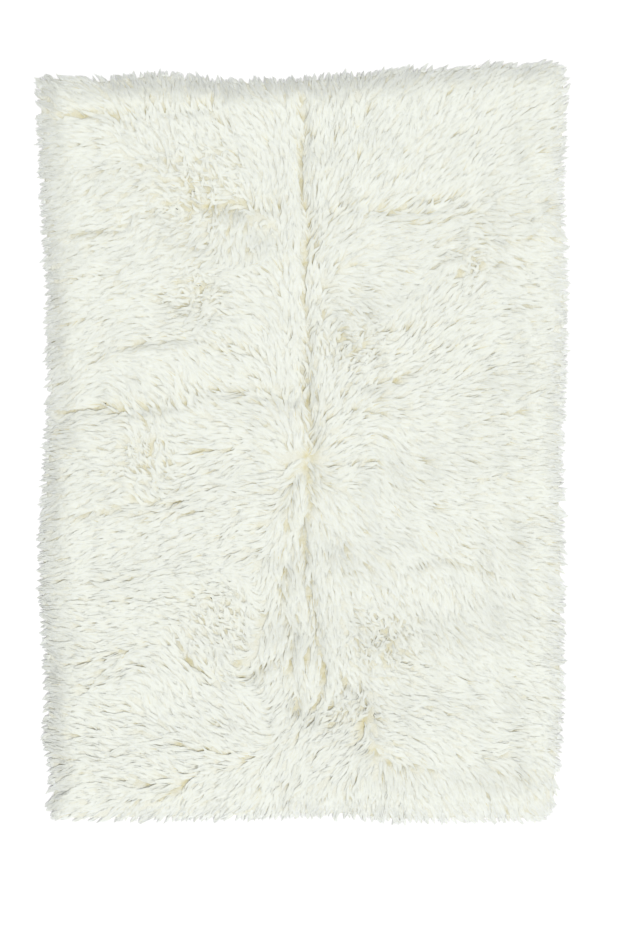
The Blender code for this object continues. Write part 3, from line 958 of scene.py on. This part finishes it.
def ground_material():
    """Plain-woven wool ground cloth, fulled: thick yarns over and under, 4 mm apart."""
    material, surface = new_material("woven wool ground cloth")
    link = material.node_tree.links.new
    place = node(material, "ShaderNodeTexCoord").outputs["Object"]
    bands = []
    for direction in ("X", "Y"):
        wave = node(material, "ShaderNodeTexWave",
                    {"wave_type": "BANDS", "bands_direction": direction}, Vector=place,
                    Scale=WAVE_PERIOD / YARN_SPACING, Distortion=0.6, Detail=1.0)
        bands.append(wave.outputs["Fac"])
    weave = node(material, "ShaderNodeMath", {"operation": "MULTIPLY"}, i0=bands[0], i1=bands[1])
    fuzz = node(material, "ShaderNodeTexNoise", Vector=place, Scale=1.0 / FUZZ_SIZE,
                Detail=3.0)
    height = node(material, "ShaderNodeMath", {"operation": "MULTIPLY_ADD"},
                  i0=fuzz.outputs["Fac"], i1=0.5, i2=weave.outputs[0])
    shade = node(material, "ShaderNodeValToRGB", Fac=height.outputs[0])
    shade.color_ramp.elements[0].color = linear("cfc19a")
    shade.color_ramp.elements[1].color = linear("eee6cb")
    link(shade.outputs["Color"], surface.inputs["Base Color"])
    surface.inputs["Roughness"].default_value = 0.92
    surface.inputs["Specular IOR Level"].default_value = 0.2
    bump = node(material, "ShaderNodeBump", Height=height.outputs[0], Strength=0.7,
                Distance=0.0012)
    link(bump.outputs["Normal"], surface.inputs["Normal"])
    return material


def floor_material():
    """Plain pale studio floor."""
    material, surface = new_material("pale studio floor")
    surface.inputs["Base Color"].default_value = linear("ffffff")
    surface.inputs["Roughness"].default_value = 0.9
    surface.inputs["Specular IOR Level"].default_value = 0.0
    surface.inputs["Emission Color"].default_value = linear("ffffff")
    surface.inputs["Emission Strength"].default_value = FLOOR_GLOW
    return material


# Pieces

def add_ground_cloth():
    """The woven ground cloth, lying on the floor."""
    x, y = grid_within(GROUND_INSET, 30, 42)
    base = np.full_like(x, GROUND_CLEAR)
    mesh = closed_sheet("ground_cloth", x, y, base + GROUND_THICKNESS, base)
    return piece_from(mesh, ground_material())


def add_lower_wool():
    """The dense lower wool that closes the pile under the locks, lower in the creases."""
    x, y = grid_within(LOWER_WOOL_INSET, 140, 200)
    rough = ripples(x, y, 0.030, 21) * 0.0008 + ripples(x, y, 0.018, 22) * 0.0006
    sink = LOWER_WOOL_SINK + CREASE_DEPTH * crevice_shade_and_tone(x, y)
    top = np.maximum(TOP(x, y) - sink + rough, GROUND_THICKNESS + LOWER_WOOL_LEAST)
    base = np.full_like(x, GROUND_THICKNESS + LAYER_GAP)
    mesh = closed_sheet("dense_lower_wool", x, y, top, base, plain_underside=True)
    rim_count = 2 * (sum(x.shape) - 2)
    # Share of the painted shade in the partings, with random cream patches
    add_numbers(mesh, "shade_and_tone", np.append(crevice_shade_and_tone(x, y).ravel(), np.zeros(rim_count)))
    return piece_from(mesh, lower_wool_material())


def add_pile():
    """The locks and their fine strands, each by the half or quarter of the rug, and wisps."""
    chance = np.random.default_rng(SEED)
    locks = lock_middles(chance)
    lock_widths = LOCK_WIDTH * chance.uniform(0.75, 1.15, len(locks))
    lock_widths = lock_widths * (1 - 0.25 * CURL(locks[:, 0, 0], locks[:, 0, 1]))
    # A little of the crevices' painted shade on the locks too
    lock_shade_and_tone = CREVICE_SHADE_AND_TONE(locks[:, 0, 0], locks[:, 0, 1]) * 0.35
    fine, fine_widths, fine_shade_and_tone = strands_on(locks, chance)
    loose, loose_widths = wisps(chance)
    lock_wool = wool_yarn_material("undyed wool locks", 2 * LOCK_WIDTH / LOCK_STREAK, 2.0)
    fine_wool = wool_yarn_material("undyed wool strands", 2 * STRAND_WIDTH / STRAND_STREAK, 3.0)
    pieces = []
    for place, chosen in (("upper", locks[:, 0, 1] > 0), ("lower", locks[:, 0, 1] <= 0)):
        mesh = strands("wool_locks_" + place, locks[chosen], lock_widths[chosen],
                       lock_shade_and_tone[chosen], LOCK_FLATNESS, chance)
        pieces.append(piece_from(mesh, lock_wool))
    right = fine[:, 0, 0] > 0.0
    upper = fine[:, 0, 1] > 0.0
    quarters = {"top_left": ~right & upper, "top_right": right & upper,
                "bottom_left": ~right & ~upper, "bottom_right": right & ~upper}
    for place, chosen in quarters.items():
        mesh = strands("wool_strands_" + place, fine[chosen], fine_widths[chosen],
                       fine_shade_and_tone[chosen], STRAND_FLATNESS, chance)
        pieces.append(piece_from(mesh, fine_wool))
    mesh = strands("loose_wisps", loose, loose_widths, np.zeros(len(loose)), STRAND_FLATNESS, chance)
    pieces.append(piece_from(mesh, fine_wool))
    return pieces


def add_floor():
    """A plain floor under the rug."""
    mesh = bpy.data.meshes.new("floor")
    corners = [(u * FLOOR_REACH, v * FLOOR_REACH, 0.0) for u, v in ((-1, -1), (1, -1), (1, 1), (-1, 1))]
    mesh.from_pydata(corners, [], [(0, 1, 2, 3)])
    mesh.materials.append(floor_material())
    floor = bpy.data.objects.new("floor", mesh)
    bpy.context.scene.collection.objects.link(floor)


def add_light():
    """Soft studio light: even from all round, and a wide light from high on the lower right."""
    world = bpy.data.worlds.new("studio")
    world.use_nodes = True
    world.node_tree.nodes["Background"].inputs["Color"].default_value = (1.0, 1.0, 1.0, 1.0)
    world.node_tree.nodes["Background"].inputs["Strength"].default_value = ROUND_LIGHT
    bpy.context.scene.world = world
    lamp = bpy.data.lights.new("wide light", "SUN")
    lamp.angle = math.radians(WIDE_LIGHT_DEGREES)
    lamp.energy = WIDE_LIGHT
    stand = bpy.data.objects.new("wide light", lamp)
    stand.location = WIDE_LIGHT_PLACE
    aim = Vector((0.0, 0.0, 0.0)) - stand.location
    stand.rotation_euler = aim.to_track_quat("-Z", "Y").to_euler()
    bpy.context.scene.collection.objects.link(stand)


def add_camera():
    """Camera straight above, with the frame's long side along the rug."""
    lens = bpy.data.cameras.new("camera")
    lens.lens = LENS
    lens.sensor_width = SENSOR
    camera = bpy.data.objects.new("camera", lens)
    camera.location = (*AIM, PILE_HEIGHT + FRAME_LONG_SIDE * LENS / SENSOR)
    bpy.context.scene.collection.objects.link(camera)
    bpy.context.scene.camera = camera


bpy.context.scene.view_settings.view_transform = "Standard"
bpy.context.scene.cycles.diffuse_bounces = LIGHT_BOUNCES
add_camera()
add_light()
add_floor()
ground = add_ground_cloth()
lower = add_lower_wool()
pile = add_pile()
